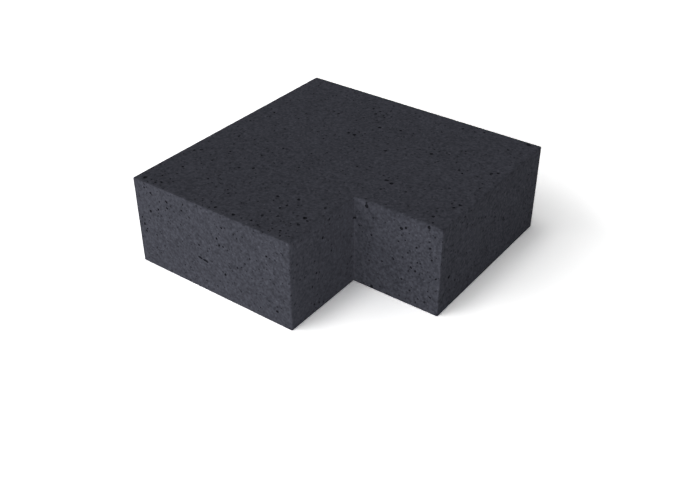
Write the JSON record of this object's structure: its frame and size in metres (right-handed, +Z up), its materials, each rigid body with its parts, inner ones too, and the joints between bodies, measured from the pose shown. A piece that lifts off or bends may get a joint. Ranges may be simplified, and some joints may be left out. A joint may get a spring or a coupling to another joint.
{
  "type": "concrete step corner block",
  "caption": "Solid L-shaped concrete block with a square notch at its inner corner, which turns a run of block steps round a corner.",
  "frame": {"origin": "middle of the block's overall square, on its bed face", "axes": "+Z up through the tread; +X and +Y along the two arms' outer faces, with the notch at the +X -Y corner and the outer corner of the L at -X +Y"},
  "size_m": [0.6, 0.6, 0.2],
  "materials": {
    "concrete": "matte"
  },
  "bodies": {
    "root": {"corner_block": "concrete"}
  },
  "joints": []
}
